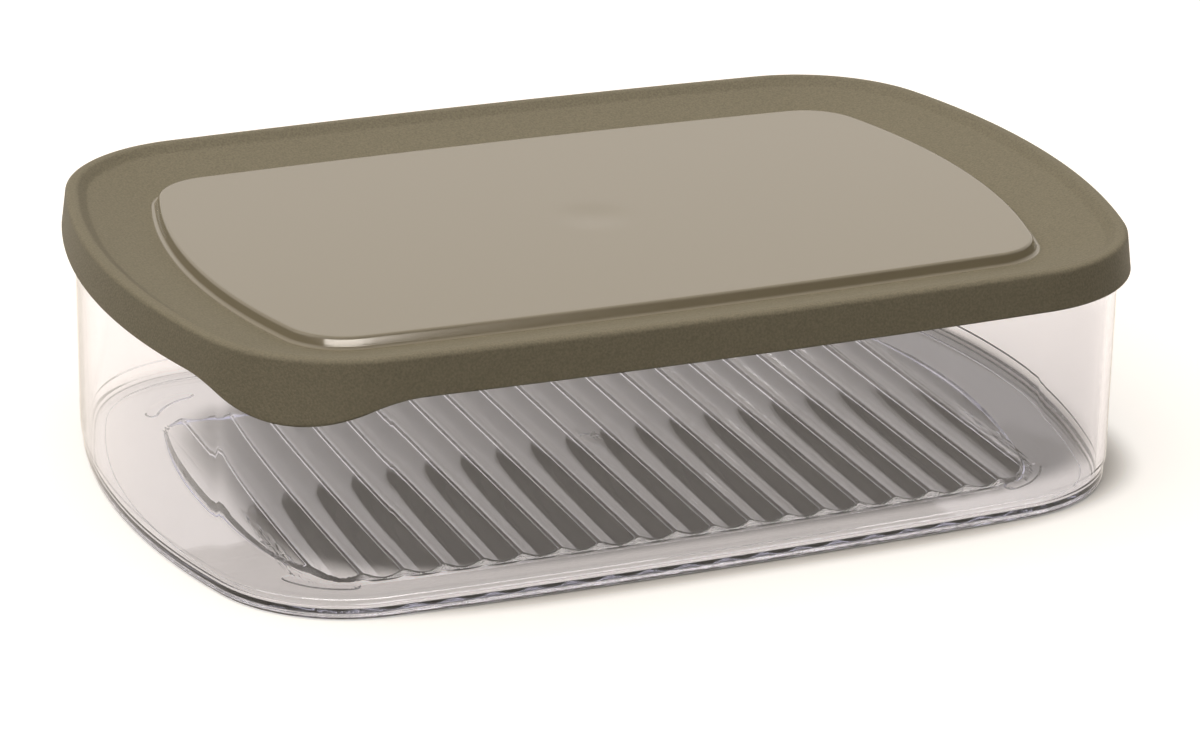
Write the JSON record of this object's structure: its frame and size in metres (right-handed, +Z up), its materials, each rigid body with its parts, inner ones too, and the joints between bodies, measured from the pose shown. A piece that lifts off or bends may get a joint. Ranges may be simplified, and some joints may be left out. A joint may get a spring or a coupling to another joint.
{
  "type": "cheese keeper",
  "caption": "Low clear food box with a ribbed floor and a one-piece press-on lid with a raised panel and a corner pull tab.",
  "frame": {"origin": "centre of the rectangle that the object covers, on the surface that the box stands on", "axes": "+X along the long side, with the pull tab at the -X -Y corner; -Y is the front; +Z up, the way the lid lifts"},
  "size_m": [0.235, 0.16, 0.0595],
  "materials": {
    "clear_plastic": "clear rigid styrene plastic, polished mould",
    "lid_plastic": "soft taupe polyethylene, fine spark texture with a polished raised panel"
  },
  "bodies": {
    "box_body": {"clear_box": "clear_plastic"},
    "lid_body": {"lid": "lid_plastic"}
  },
  "joints": [
    {"name": "lid_lift", "type": "slide", "parent": "box_body", "child": "lid_body", "axis": [0, 0, 1], "range_m": [0, 0.08]}
  ]
}
